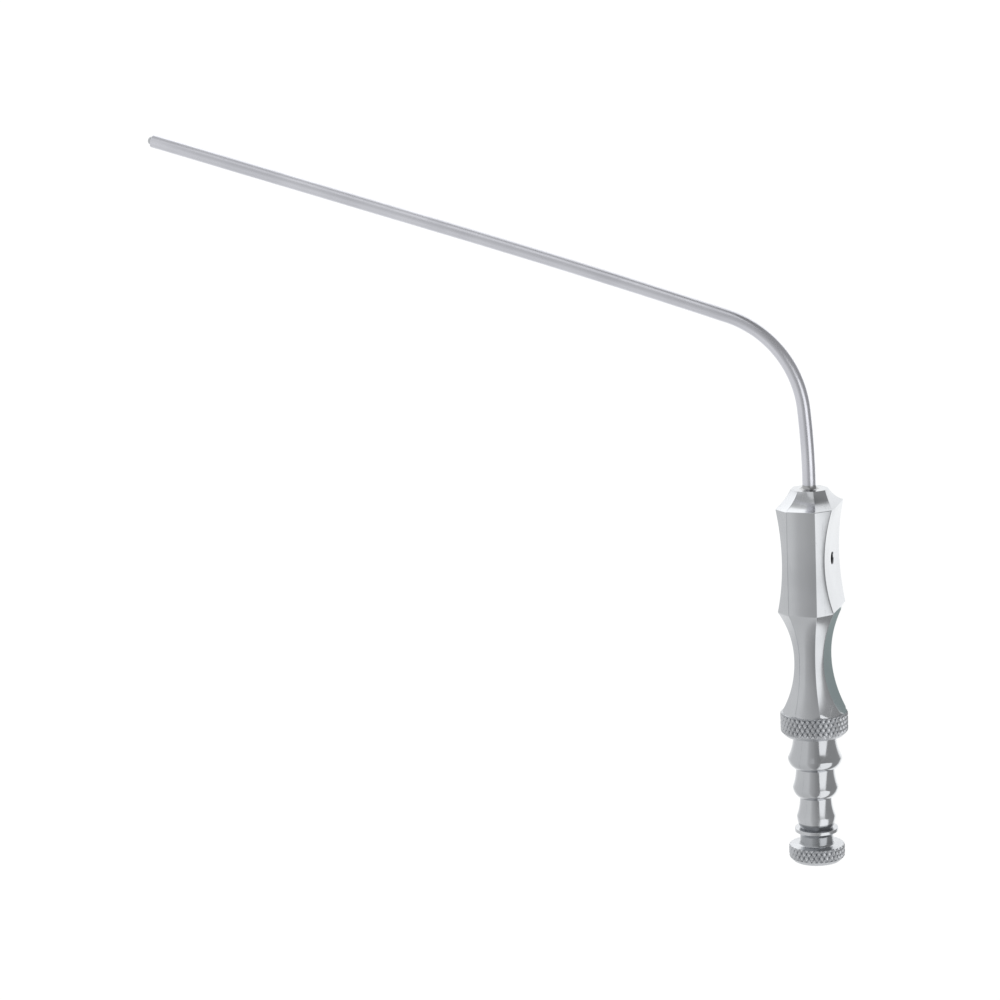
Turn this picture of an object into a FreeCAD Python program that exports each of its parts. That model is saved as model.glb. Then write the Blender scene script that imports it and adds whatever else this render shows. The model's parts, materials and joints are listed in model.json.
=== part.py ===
"""Suction tube with a finger cut-off handle and its stylet, lying on its side.

Every piece is drawn in the handle's own frame: Z runs up the handle from the open hose end
to the tube, +X is the side with the cut-off hole, and the tube bends away towards -X.
The finished pieces are then laid down together on the three points that carry them.
"""
import FreeCAD
import Part
import os

import Sketcher
from FreeCAD import Placement, Rotation, Vector
from math import cos, radians, sin

SIZES = {
    # Octagonal grip, sizes across its flats
    "gripThickness": 10.0,
    "gripWidth": 15.0,
    "gripCorner": 2.55,
    "gripLength": 18.25,
    "gripSweep": 9.1,
    "thumbDish": 1.2,
    "barDiameter": 17.0,
    # Waist under the grip
    "waistThickness": 5.3,
    "waistWidth": 9.3,
    "waistCorner": 1.3,
    "waistSweep": 9.7,
    # Shoulder over the grip, swept in with one cutter to a flat round the tube
    "shoulderRise": 2.75,
    "shoulderFlat": 6.2,
    "shoulderCurve": 7.5,
    # Ring to be knurled; the flats of the waist end at a low step on top of it
    "ringDiameter": 11.8,
    "ringBottom": 17.0,
    "ringLength": 4.1,
    "ringStep": 0.4,
    "ringEdge": 0.8,
    # Hose barbs, counted up from the open end
    "barbPitch": 5.31,
    "endTaper": 2.2,
    "barbTaper": 1.95,
    "endDiameter": 5.6,
    "firstBarb": 6.8,
    "secondBarb": 8.0,
    "thirdBarb": 9.5,
    "firstNeck": 5.6,
    "secondNeck": 6.8,
    "thirdNeck": 7.5,
    # Passage through the handle
    "hoseBore": 3.8,
    "hoseBoreDepth": 7.0,
    "handleBore": 2.0,
    "ventDiameter": 2.2,
    "ventRise": 8.8,
    # Tube, its wall, its seat in the handle, and its bends in their order from the handle
    "tubeDiameter": 2.33,
    "tubeWall": 0.25,
    "tubeSocket": 8.9,
    "socketGap": 0.02,
    "rootRadius": 135.0,
    "rootAngle": 5.6,
    "bendRadius": 18.8,
    "bendAngle": 66.6,
    "bowRadius": 1850.0,
    "bowAngle": 1.6,
    "tipLength": 58.4,
    "tipRound": 0.1,
    # Braze at the tube's root
    "brazeWidth": 0.55,
    "brazeHeight": 0.7,
    # Stylet wire
    "wireDiameter": 1.4,
    "wireReach": 0.75,
    "wireRound": 0.45,
    "wireSeat": 3.0,
    "wireGap": 0.02,
    # Stylet knob: a plug in the hose end, a flange against it, a spool and a round grip
    "plugLength": 5.0,
    "plugGap": 0.05,
    "flangeDiameter": 7.6,
    "flangeLand": 0.6,
    "flangeThickness": 1.5,
    "spoolDiameter": 5.8,
    "spoolLength": 1.55,
    "knobDiameter": 9.8,
    "knobThickness": 2.9,
    "knobEdge": 0.8,
}

# Heights up the handle, each stacked on the one below it
HEIGHTS = {
    "ringFade": "ringBottom + ringLength",
    "waistHeight": "ringFade + waistSweep",
    "gripBottom": "waistHeight + gripSweep",
    "gripTop": "gripBottom + gripLength",
    "shoulderTop": "gripTop + shoulderRise",
    "ventHeight": "gripBottom + ventRise",
    "tubeSeat": "shoulderTop - tubeSocket",
}

doc = FreeCAD.newDocument("SuctionTube")


def write_sizes():
    sheet = doc.addObject("Spreadsheet::Sheet", "Sizes")
    row = 0
    for name, value in list(SIZES.items()) + [(name, "=" + total) for name, total in HEIGHTS.items()]:
        row += 1
        sheet.set("A%d" % row, name)
        sheet.set("B%d" % row, str(value))
        sheet.setAlias("B%d" % row, name)
    doc.recompute()
    return sheet


sheet = write_sizes()


def size(name):
    return float(getattr(sheet, name))


# Drawing helpers

def new_body(name):
    body = doc.addObject("PartDesign::Body", name)
    body.Label = name
    return body


def origin_feature(body, role):
    return next(feature for feature in body.Origin.OriginFeatures if feature.Role == role)


def new_sketch(body, name, role, turn=0.0, height=None):
    """A sketch on an origin plane, turned about its upright or lifted off the plane."""
    sketch = body.newObject("Sketcher::SketchObject", name)
    sketch.AttachmentSupport = [(origin_feature(body, role), "")]
    sketch.MapMode = "FlatFace"
    if turn:
        sketch.AttachmentOffset = Placement(Vector(), Rotation(Vector(0, 1, 0), turn))
    if height:
        sketch.setExpression("AttachmentOffset.Base.z", height)
    doc.recompute()
    return sketch


def worked_out(sketch, formula):
    return float(sketch.evalExpression(formula))


def hold_size(sketch, number, formula):
    sketch.setExpression("Constraints[%d]" % number, formula)


def hold_point(sketch, edge, end, across, along):
    """Hold one end of an edge at two formulas measured from the sketch's origin."""
    for kind, formula, axis in (("DistanceX", across, -2), ("DistanceY", along, -1)):
        if formula == "0":
            sketch.addConstraint(Sketcher.Constraint("PointOnObject", edge, end, axis))
        else:
            value = worked_out(sketch, formula)
            number = sketch.addConstraint(Sketcher.Constraint(kind, -1, 1, edge, end, value))
            hold_size(sketch, number, formula)


def arc_through(start, finish, radius, hollow):
    """The short arc between two points; a hollow one has its centre right of the way it runs."""
    chord = finish - start
    right = Vector(chord.y, -chord.x, 0).normalize()
    if not hollow:
        right = -right
    middle = (start + finish) / 2
    offset = max(radius ** 2 - (chord.Length / 2) ** 2, 0.0) ** 0.5
    return Part.Arc(start, middle + right * (offset - radius), finish)


def draw_outline(sketch, corners, arcs=None):
    """A closed outline anticlockwise about its material, with arcs on the numbered edges."""
    arcs = arcs or {}
    points = [Vector(worked_out(sketch, a), worked_out(sketch, b), 0) for a, b in corners]
    ends = []
    for i, start in enumerate(points):
        finish = points[(i + 1) % len(points)]
        if i in arcs:
            formula, hollow = arcs[i]
            edge = sketch.addGeometry(arc_through(start, finish, worked_out(sketch, formula), hollow))
        else:
            edge = sketch.addGeometry(Part.LineSegment(start, finish))
        first = 1 if sketch.getPoint(edge, 1).distanceToPoint(start) < 1e-6 else 2
        ends.append((edge, first, 3 - first))
    for i, (edge, first, last) in enumerate(ends):
        after, after_first, _ = ends[(i + 1) % len(ends)]
        sketch.addConstraint(Sketcher.Constraint("Coincident", edge, last, after, after_first))
        hold_point(sketch, edge, first, *corners[i])
        if i in arcs:
            radius = worked_out(sketch, arcs[i][0])
            number = sketch.addConstraint(Sketcher.Constraint("Radius", edge, radius))
            hold_size(sketch, number, arcs[i][0])
    doc.recompute()


def draw_circle(sketch, diameter, along="0"):
    centre = Vector(0, worked_out(sketch, along), 0)
    radius = worked_out(sketch, diameter) / 2
    edge = sketch.addGeometry(Part.Circle(centre, Vector(0, 0, 1), radius))
    hold_point(sketch, edge, 3, "0", along)
    number = sketch.addConstraint(Sketcher.Constraint("Diameter", edge, 2 * radius))
    hold_size(sketch, number, diameter)
    doc.recompute()


def arc_radius(rise, run):
    """The radius of an arc that starts square to its rise and gains it over the run."""
    return "((%s)^2 + (%s)^2) / (2 * (%s))" % (rise, run, rise)


def turn_profile(body, kind, name, sketch):
    feature = body.newObject(kind, name)
    feature.Profile = sketch
    feature.ReferenceAxis = (sketch, ["V_Axis"])
    feature.Angle = 360.0
    doc.recompute()
    return feature


# Handle

GRIP_FACE = {"across": "Sizes.gripThickness / 2", "waist": "Sizes.waistThickness / 2"}
EDGE_FACE = {"across": "Sizes.gripWidth / 2", "waist": "Sizes.waistWidth / 2"}
CORNER_FACE = {
    "across": "(Sizes.gripThickness / 2 + Sizes.gripWidth / 2 - Sizes.gripCorner) / sqrt(2)",
    "waist": "(Sizes.waistThickness / 2 + Sizes.waistWidth / 2 - Sizes.waistCorner) / sqrt(2)",
}


def draw_turned_blank(sketch):
    """The lathe work: three barbs, the ring, and round bar left over for the flats."""
    corners = [("0", "0"), ("Sizes.endDiameter / 2", "0")]
    arcs = {1: (arc_radius("(Sizes.firstBarb - Sizes.endDiameter) / 2", "Sizes.endTaper"), False)}
    names = ("first", "second", "third")
    for i, name in enumerate(names):
        crest = "Sizes.endTaper + %d * Sizes.barbPitch" % i
        foot = crest + " + Sizes.barbPitch - Sizes.barbTaper"
        if i == len(names) - 1:
            foot = "Sizes.ringBottom"
        barb, neck = "Sizes.%sBarb" % name, "Sizes.%sNeck" % name
        arcs[len(corners)] = (arc_radius("(%s - %s) / 2" % (barb, neck), "%s - (%s)" % (foot, crest)), True)
        corners.append((barb + " / 2", crest))
        if i < len(names) - 1:
            rise = "(Sizes.%sBarb - %s) / 2" % (names[i + 1], neck)
            arcs[len(corners)] = (arc_radius(rise, "Sizes.barbTaper"), False)
        corners.append((neck + " / 2", foot))
    corners += [
        ("Sizes.ringDiameter / 2 - Sizes.ringEdge", "Sizes.ringBottom"),
        ("Sizes.ringDiameter / 2", "Sizes.ringBottom + Sizes.ringEdge"),
        ("Sizes.ringDiameter / 2", "Sizes.waistHeight"),
        ("Sizes.barDiameter / 2", "Sizes.waistHeight"),
        ("Sizes.barDiameter / 2", "Sizes.shoulderTop"),
        ("0", "Sizes.shoulderTop"),
    ]
    draw_outline(sketch, corners, arcs)


def draw_passage(sketch):
    """The stepped hole from the hose end to the tube's socket."""
    hose, through = "Sizes.hoseBore / 2", "Sizes.handleBore / 2"
    socket = "Sizes.tubeDiameter / 2 + Sizes.socketGap"
    seat = "Sizes.tubeSeat"
    below, above = "-Sizes.barbPitch", "Sizes.shoulderTop + Sizes.barbPitch"
    draw_outline(sketch, [
        ("0", below), (hose, below), (hose, "Sizes.hoseBoreDepth"), (through, "Sizes.hoseBoreDepth"),
        (through, seat), (socket, seat), (socket, above), ("0", above),
    ])


def draw_flat(sketch, face, dished):
    """What the cutter takes off one side: waist, grip and shoulder in one sweep."""
    across, waist = face["across"], face["waist"]
    ring, flat = "Sizes.ringDiameter / 2 - Sizes.ringStep", "Sizes.shoulderFlat / 2"
    beyond, above = "Sizes.barDiameter", "Sizes.shoulderTop + Sizes.barbPitch"
    arcs = {
        1: (arc_radius("%s - (%s)" % (ring, waist), "Sizes.waistSweep"), True),
        2: (arc_radius("%s - %s" % (across, waist), "Sizes.gripSweep"), True),
        4: ("Sizes.shoulderCurve", True),
    }
    if dished:
        arcs[3] = (arc_radius("Sizes.thumbDish", "Sizes.gripLength / 2"), True)
    draw_outline(sketch, [
        (beyond, "Sizes.ringFade"), (ring, "Sizes.ringFade"), (waist, "Sizes.waistHeight"),
        (across, "Sizes.gripBottom"), (across, "Sizes.gripTop"), (flat, "Sizes.shoulderTop"),
        (flat, above), (beyond, above),
    ], arcs)


def cut_flat(body, name, role, face, dished=False, turn=0.0):
    sketch = new_sketch(body, name + "Sketch", role, turn)
    draw_flat(sketch, face, dished)
    pocket = body.newObject("PartDesign::Pocket", name)
    pocket.Profile = sketch
    pocket.SideType = "Symmetric"
    pocket.setExpression("Length", "4 * Sizes.barDiameter")
    doc.recompute()
    return pocket


def mirror_cut(body, pocket, role):
    mirrored = body.newObject("PartDesign::Mirrored", pocket.Name + "Opposite")
    mirrored.Originals = [pocket]
    mirrored.MirrorPlane = (origin_feature(body, role), [""])
    body.Tip = mirrored
    doc.recompute()


def make_handle():
    """Turned from bar, milled to eight flats, bored through, and drilled for the finger."""
    body = new_body("handle")
    blank = new_sketch(body, "TurnedBlankSketch", "XZ_Plane")
    draw_turned_blank(blank)
    turn_profile(body, "PartDesign::Revolution", "TurnedBlank", blank)
    mirror_cut(body, cut_flat(body, "GripFace", "XZ_Plane", GRIP_FACE, dished=True), "YZ_Plane")
    mirror_cut(body, cut_flat(body, "EdgeFace", "YZ_Plane", EDGE_FACE), "XZ_Plane")
    corner = cut_flat(body, "CornerFace", "XZ_Plane", CORNER_FACE, turn=45.0)
    corners = body.newObject("PartDesign::PolarPattern", "CornerFaces")
    corners.Originals = [corner]
    corners.Axis = (origin_feature(body, "Z_Axis"), [""])
    corners.Angle = 360.0
    corners.Occurrences = 4
    body.Tip = corners
    doc.recompute()
    passage = new_sketch(body, "PassageSketch", "XZ_Plane")
    draw_passage(passage)
    turn_profile(body, "PartDesign::Groove", "Passage", passage)
    vent = new_sketch(body, "VentSketch", "YZ_Plane")
    draw_circle(vent, "Sizes.ventDiameter", "Sizes.ventHeight")
    drilled = body.newObject("PartDesign::Pocket", "Vent")
    drilled.Profile = vent
    drilled.Reversed = True
    drilled.setExpression("Length", "Sizes.gripThickness")
    doc.recompute()
    return body


# Tube and wire

def tube_course(start, end_length):
    """Points and headings along the tube's middle, the heading leaning from +Z towards -X."""
    rise = size("shoulderTop") + size("brazeHeight")
    points, heading = [Vector(0, start, 0), Vector(0, rise, 0)], 0.0
    middles = []
    for name in ("root", "bend", "bow"):
        radius, turn = size(name + "Radius"), radians(size(name + "Angle"))
        centre = points[-1] - Vector(cos(heading), sin(heading), 0) * radius
        half = heading + turn / 2
        middles.append(centre + Vector(cos(half), sin(half), 0) * radius)
        heading += turn
        points.append(centre + Vector(cos(heading), sin(heading), 0) * radius)
    points.append(points[-1] + Vector(-sin(heading), cos(heading), 0) * end_length)
    return points, middles, heading


def draw_course(sketch, start, end_length):
    """A straight root, three tangent arcs and the long straight end."""
    points, middles, _ = tube_course(worked_out(sketch, start), worked_out(sketch, end_length))
    edges = [sketch.addGeometry(Part.LineSegment(points[0], points[1]))]
    for i, middle in enumerate(middles):
        edges.append(sketch.addGeometry(Part.Arc(points[i + 1], middle, points[i + 2])))
    edges.append(sketch.addGeometry(Part.LineSegment(points[-2], points[-1])))
    hold_point(sketch, edges[0], 1, "0", start)
    hold_point(sketch, edges[0], 2, "0", "Sizes.shoulderTop + Sizes.brazeHeight")
    for one, after in zip(edges, edges[1:]):
        sketch.addConstraint(Sketcher.Constraint("Tangent", one, 2, after, 1))
    for edge, name in zip(edges[1:4], ("root", "bend", "bow")):
        number = sketch.addConstraint(Sketcher.Constraint("Radius", edge, size(name + "Radius")))
        hold_size(sketch, number, "Sizes.%sRadius" % name)
        turn = radians(size(name + "Angle"))
        number = sketch.addConstraint(Sketcher.Constraint("Angle", edge, turn))
        hold_size(sketch, number, "Sizes.%sAngle * 1 deg" % name)
    length = (points[-1] - points[-2]).Length
    number = sketch.addConstraint(Sketcher.Constraint("Distance", edges[-1], length))
    hold_size(sketch, number, end_length)
    doc.recompute()


def sweep_round(body, start, end_length, diameters, rounding):
    """A round section carried along the tube's course, its far rim rounded."""
    section = new_sketch(body, body.Name + "Section", "XY_Plane", height=start)
    for diameter in diameters:
        draw_circle(section, diameter)
    course = new_sketch(body, body.Name + "Course", "XZ_Plane")
    draw_course(course, start, end_length)
    sweep = body.newObject("PartDesign::AdditivePipe", body.Name + "Sweep")
    sweep.Profile = section
    sweep.Spine = (course, ["Edge%d" % (i + 1) for i in range(5)])
    doc.recompute()
    points, _, _ = tube_course(worked_out(course, start), worked_out(course, end_length))
    tip = Vector(points[-1].x, 0, points[-1].y)
    outer = worked_out(section, diameters[0]) / 2
    rims = ["Edge%d" % (i + 1) for i, edge in enumerate(sweep.Shape.Edges)
            if edge.isClosed() and isinstance(edge.Curve, Part.Circle)
            and edge.Curve.Center.distanceToPoint(tip) < outer / 10
            and abs(edge.Curve.Radius - outer) < outer / 100]
    fillet = body.newObject("PartDesign::Fillet", body.Name + "Rim")
    fillet.Base = (sweep, rims)
    fillet.setExpression("Radius", rounding)
    doc.recompute()
    return body


def make_cannula():
    inner = "Sizes.tubeDiameter - 2 * Sizes.tubeWall"
    return sweep_round(new_body("cannula"), "Sizes.tubeSeat", "Sizes.tipLength",
                       ["Sizes.tubeDiameter", inner], "Sizes.tipRound")


def make_stylet_wire():
    seat = "Sizes.plugLength - Sizes.wireSeat"
    return sweep_round(new_body("stylet_wire"), seat, "Sizes.tipLength + Sizes.wireReach",
                       ["Sizes.wireDiameter"], "Sizes.wireRound")


def make_braze_fillet():
    """A small hollow cone of braze between the tube and the shoulder's flat."""
    body = new_body("braze_fillet")
    tube = "Sizes.tubeDiameter / 2"
    sketch = new_sketch(body, "BrazeSketch", "XZ_Plane")
    draw_outline(sketch, [
        (tube, "Sizes.shoulderTop"), (tube + " + Sizes.brazeWidth", "Sizes.shoulderTop"),
        (tube, "Sizes.shoulderTop + Sizes.brazeHeight"),
    ], {1: (arc_radius("Sizes.brazeHeight", "Sizes.brazeWidth"), True)})
    turn_profile(body, "PartDesign::Revolution", "Braze", sketch)
    return body


def make_stylet_knob():
    """The stylet's knob: plug, flange, spool and a round grip, with a seat for the wire."""
    body = new_body("stylet_knob")
    plug = "Sizes.hoseBore / 2 - Sizes.plugGap"
    flange, spool, knob = "Sizes.flangeDiameter / 2", "Sizes.spoolDiameter / 2", "Sizes.knobDiameter / 2"
    shelf = "-(Sizes.flangeThickness + Sizes.spoolLength)"
    end = shelf + " - Sizes.knobThickness"
    sketch = new_sketch(body, "KnobSketch", "XZ_Plane")
    draw_outline(sketch, [
        ("0", end), (knob + " - Sizes.knobEdge", end), (knob, end + " + Sizes.knobEdge"),
        (knob, shelf), (spool, shelf), (spool, "-Sizes.flangeThickness"), (flange, "-Sizes.flangeLand"),
        (flange, "0"), (plug, "0"), (plug, "Sizes.plugLength"), ("0", "Sizes.plugLength"),
    ], {5: (arc_radius("Sizes.flangeDiameter / 2 - Sizes.spoolDiameter / 2",
                       "Sizes.flangeThickness - Sizes.flangeLand"), True)})
    turn_profile(body, "PartDesign::Revolution", "Knob", sketch)
    seat = new_sketch(body, "WireSeatSketch", "XY_Plane", height="Sizes.plugLength")
    draw_circle(seat, "Sizes.wireDiameter + 2 * Sizes.wireGap")
    drilled = body.newObject("PartDesign::Pocket", "WireSeat")
    drilled.Profile = seat
    drilled.setExpression("Length", "Sizes.wireSeat")
    doc.recompute()
    return body


# Laying down

def lowest_of_ring(centre, axis, radius, down):
    """The point of a circle that lies furthest down."""
    across = down - axis * down.dot(axis)
    return centre + across.normalize() * radius


def resting_placement():
    """Lay the piece on the grip's lower corner, the knob's rim and the end of the tube."""
    points, _, heading = tube_course(0.0, size("tipLength"))
    tip = Vector(points[-1].x, 0, points[-1].y)
    tip_axis = Vector(-sin(heading), 0, cos(heading))
    upright = Vector(0, 0, 1)
    corner = Vector(size("gripCorner") - size("gripThickness") / 2, size("gripWidth") / 2, size("gripBottom"))
    knob_height = size("knobEdge") - size("flangeThickness") - size("spoolLength") - size("knobThickness")
    down = Vector(0, 1, 0)
    for _ in range(5):
        rim = lowest_of_ring(Vector(0, 0, knob_height), upright, size("knobDiameter") / 2, down)
        end = lowest_of_ring(tip, tip_axis, size("tubeDiameter") / 2, down)
        down = (rim - corner).cross(end - corner).normalize()
        if down.y < 0:
            down = -down
    along = (upright - down * upright.dot(down)).normalize()
    laid = Rotation(along.cross(-down), along, -down, "ZYX").inverted()
    return Placement(Vector(), laid)


def place_pieces(bodies):
    """Put the floor at zero height under the middle of what the pieces cover."""
    laid = resting_placement()
    for body in bodies:
        body.Placement = laid
    doc.recompute()
    box = Part.Compound([body.Shape for body in bodies]).optimalBoundingBox(False)
    middle = Vector((box.XMin + box.XMax) / 2, (box.YMin + box.YMax) / 2, box.ZMin)
    for body in bodies:
        body.Placement = Placement(-middle, laid.Rotation)
    doc.recompute()


def check_pieces(bodies):
    for item in doc.Objects:
        if "Invalid" in item.State or "Error" in item.State:
            raise RuntimeError("%s did not build: %s" % (item.Name, item.State))
    for body in bodies:
        if body.Shape.isNull() or not body.Shape.isValid() or len(body.Shape.Solids) != 1:
            raise RuntimeError("%s is not one sound solid" % body.Label)


def main():
    bodies = [make_handle(), make_cannula(), make_braze_fillet(), make_stylet_knob(), make_stylet_wire()]
    place_pieces(bodies)
    check_pieces(bodies)
    os.makedirs("parts", exist_ok=True)
    for body in bodies:
        body.Shape.exportStep("parts/%s.step" % body.Label)
        box = body.Shape.BoundBox
        print("%-14s %9.2f mm3  %6.2f x %6.2f x %6.2f" % (body.Label, body.Shape.Volume, box.XLength,
                                                          box.YLength, box.ZLength))


main()
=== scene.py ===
import json
import math
from functools import partial

import bmesh
import bpy
import numpy as np
from mathutils import Matrix, Vector


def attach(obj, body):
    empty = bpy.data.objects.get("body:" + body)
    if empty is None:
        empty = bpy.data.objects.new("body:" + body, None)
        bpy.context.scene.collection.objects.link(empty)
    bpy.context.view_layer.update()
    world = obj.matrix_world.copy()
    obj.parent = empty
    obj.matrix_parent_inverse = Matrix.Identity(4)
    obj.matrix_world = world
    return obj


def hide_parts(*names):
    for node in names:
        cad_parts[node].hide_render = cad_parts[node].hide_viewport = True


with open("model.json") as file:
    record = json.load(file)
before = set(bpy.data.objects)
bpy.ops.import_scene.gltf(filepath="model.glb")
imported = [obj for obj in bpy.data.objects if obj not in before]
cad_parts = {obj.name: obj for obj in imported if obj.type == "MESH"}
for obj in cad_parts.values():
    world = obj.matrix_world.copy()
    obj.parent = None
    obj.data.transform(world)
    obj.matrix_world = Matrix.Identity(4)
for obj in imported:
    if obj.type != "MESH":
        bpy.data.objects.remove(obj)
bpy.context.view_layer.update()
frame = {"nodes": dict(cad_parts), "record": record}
mm = 0.001

# The handle's own frame, read from the record: x out of the finger hole, z up the handle
mounts = {mount["name"]: mount for mount in frame["record"]["mounts"]}
hoseEnd = Vector(mounts["hose_barbs"]["pos_m"])
handleUp = -Vector(mounts["hose_barbs"]["axis"]).normalized()
gripBack = -Vector(mounts["grip_flat_upper"]["axis"]).normalized()
holeSide = gripBack.cross(handleUp).normalized()
gripBack = handleUp.cross(holeSide).normalized()
handleTurn = Matrix((holeSide, gripBack, handleUp)).transposed()
handleFrame = Matrix.Translation(hoseEnd) @ handleTurn.to_4x4() @ Matrix.Scale(mm, 4)
print("frame loaded:", sorted(frame["nodes"]))


def placed(name, data):
    made = bpy.data.objects.new(name, data)
    bpy.context.collection.objects.link(made)
    return made


# Node shorthand for the materials, the trees and the surround

def mathNode(tree, kind, *values):
    made = tree.nodes.new("ShaderNodeMath")
    made.operation = kind
    for socket, value in zip(made.inputs, values):
        if isinstance(value, (int, float)):
            socket.default_value = value
        else:
            tree.links.new(value, socket)
    return made.outputs[0]


def rangeNode(tree, value, low, high, toLow, toHigh, kind="SMOOTHSTEP"):
    made = tree.nodes.new("ShaderNodeMapRange")
    made.interpolation_type = kind
    for key, number in zip(("From Min", "From Max", "To Min", "To Max"), (low, high, toLow, toHigh)):
        made.inputs[key].default_value = number
    tree.links.new(value, made.inputs["Value"])
    return made.outputs["Result"]


def windowNode(tree, lowSide, low, highSide, high, soft):
    # one between its two ends, with soft edges
    return mathNode(tree, "MULTIPLY", rangeNode(tree, lowSide, low - soft, low + soft, 0.0, 1.0),
                    rangeNode(tree, highSide, high - soft, high + soft, 1.0, 0.0))


# The two knurled bands: the ring's on the handle, and the stylet knob's

ringBand = {
    "radius": 5.9, "depth": 0.24, "sunk": 0.05, "starts": 38, "pitch": 1.56, "rows": 7, "tip": 0.36,
    "bottom": 16.75, "low": 17.0, "high": 21.08, "bevel": 0.8, "teethTop": 21.07, "topEase": 0.08,
}
knobBand = {
    "radius": 4.9, "depth": 0.24, "sunk": 0.05, "starts": 32, "pitch": 1.56, "rows": 5, "tip": 0.36,
    "bottom": -6.05, "low": -5.95, "high": -3.06, "bevel": 0.8, "teethTop": -3.055, "topEase": 0.115,
}
# tint: the painted shade laid in the knurl's grooves
bandFinish = {
    "edge": 0.02, "grooveDepth": (-0.23, -0.07), "crossing": (-0.95, -0.1), "least": 0.05,
    "tint": (0.34, 0.35, 0.37), "rougher": 0.24,
}


# Materials

def steelFinish(name, look):
    material = bpy.data.materials.new(name)
    material.use_nodes = True
    tree = material.node_tree
    nodes = tree.nodes
    shader = nodes["Principled BSDF"]
    shader.inputs["Metallic"].default_value = 1.0
    coord = nodes.new("ShaderNodeTexCoord")
    local = nodes.new("ShaderNodeMapping")
    local.vector_type = "TEXTURE"
    local.inputs["Location"].default_value = hoseEnd
    local.inputs["Rotation"].default_value = handleTurn.to_euler()
    tree.links.new(coord.outputs["Object"], local.inputs["Vector"])

    def stretched(stretch, turn=(0.0, 0.0, 0.0)):
        spread = nodes.new("ShaderNodeMapping")
        spread.inputs["Scale"].default_value = stretch
        spread.inputs["Rotation"].default_value = turn
        tree.links.new(local.outputs["Vector"], spread.inputs["Vector"])
        return spread.outputs["Vector"]

    def noise(scale, stretch, detail, rough=0.5):
        grain = nodes.new("ShaderNodeTexNoise")
        grain.inputs["Scale"].default_value = scale
        grain.inputs["Detail"].default_value = detail
        grain.inputs["Roughness"].default_value = rough
        tree.links.new(stretched(stretch), grain.inputs["Vector"])
        return grain.outputs["Fac"]

    ranged, calc = partial(rangeNode, tree), partial(mathNode, tree)
    times, plus = partial(calc, "MULTIPLY"), partial(calc, "ADD")
    window = partial(windowNode, tree)

    # faint cloudy changes of tone
    tone = nodes.new("ShaderNodeMix")
    tone.data_type = "RGBA"
    cloud = noise(look["cloudScale"], (1, 1, 1), 3.0)
    tree.links.new(ranged(cloud, *look["cloudRange"], 0.0, 1.0), tone.inputs["Factor"])
    tone.inputs[6].default_value = look["dark"] + (1.0,)
    tone.inputs[7].default_value = look["pale"] + (1.0,)
    colour = tone.outputs[2]
    matt = None
    if "knurl" in look:
        # the rolled band is duller than the polish, and its grooves carry painted shade, darkest where they cross
        band = look["knurl"]
        low, high, radius, bevel = (band[key] * mm for key in ("low", "high", "radius", "bevel"))
        spot = nodes.new("ShaderNodeSeparateXYZ")
        tree.links.new(local.outputs["Vector"], spot.inputs[0])
        x, y, z = spot.outputs
        away = calc("SQRT", plus(times(x, x), times(y, y)))
        cut = ranged(z, low, low + bevel, bevel, 0.0, "LINEAR")
        depth = plus(plus(away, cut), -radius)
        matt = window(z, low, z, high, bandFinish["edge"] * mm)
        turned = times(calc("ARCTAN2", y, x), band["starts"])
        risen = times(plus(z, -band["bottom"] * mm), 2 * math.pi / (band["pitch"] * mm))
        lattice = times(calc("COSINE", turned), calc("COSINE", risen))
        crossing = ranged(lattice, *bandFinish["crossing"], 1.0, bandFinish["least"])
        deep, shallow = (value * mm for value in bandFinish["grooveDepth"])
        grooveShade = times(times(matt, ranged(depth, deep, shallow, 1.0, 0.0)), crossing)

        def darkened(share, tint):
            shaded = nodes.new("ShaderNodeMix")
            shaded.data_type = "RGBA"
            shaded.blend_type = "MULTIPLY"
            tree.links.new(share, shaded.inputs["Factor"])
            tree.links.new(colour, shaded.inputs[6])
            shaded.inputs[7].default_value = tint + (1.0,)
            return shaded.outputs[2]

        colour = darkened(grooveShade, bandFinish["tint"])
        for place in look["paintedShades"]:
            # painted shade: the colour is darkened within each listed height span and radius
            foot, crest, most, ease = (place[key] * mm for key in ("foot", "crest", "radius", "ease"))
            reach = ranged(away, most - ease, most + ease, 1.0, 0.0)
            colour = darkened(times(window(z, foot, z, crest, ease), reach), place["tint"])
    tree.links.new(colour, shader.inputs["Base Color"])

    # polishing lines, hair scratches in patches, and finger smears
    lines = noise(look["lineScale"], look["lineRun"], 2.0, 0.6)
    smear = noise(look["smearScale"], (1, 1, 0.6), 4.0)
    scratch = nodes.new("ShaderNodeTexVoronoi")
    scratch.feature = "DISTANCE_TO_EDGE"
    scratch.inputs["Scale"].default_value = look["scratchScale"]
    tree.links.new(stretched(look["scratchRun"], look["scratchTurn"]), scratch.inputs["Vector"])
    thin = ranged(scratch.outputs["Distance"], 0.0, look["scratchWidth"], 1.0, 0.0)
    patch = ranged(noise(look["patchScale"], (1, 1, 1), 2.0), *look["patchRange"], 0.0, 1.0)
    marks = times(thin, patch)
    roughness = plus(ranged(smear, *look["smearRange"], *look["rough"]), times(marks, look["scratchDull"]))
    if matt:
        roughness = plus(roughness, times(matt, bandFinish["rougher"]))
    tree.links.new(roughness, shader.inputs["Roughness"])
    bump = nodes.new("ShaderNodeBump")
    bump.inputs["Distance"].default_value = mm
    tree.links.new(calc("SUBTRACT", times(lines, look["lineDepth"]), times(marks, look["scratchDepth"])),
                   bump.inputs["Height"])
    tree.links.new(bump.outputs["Normal"], shader.inputs["Normal"])
    return material


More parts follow.
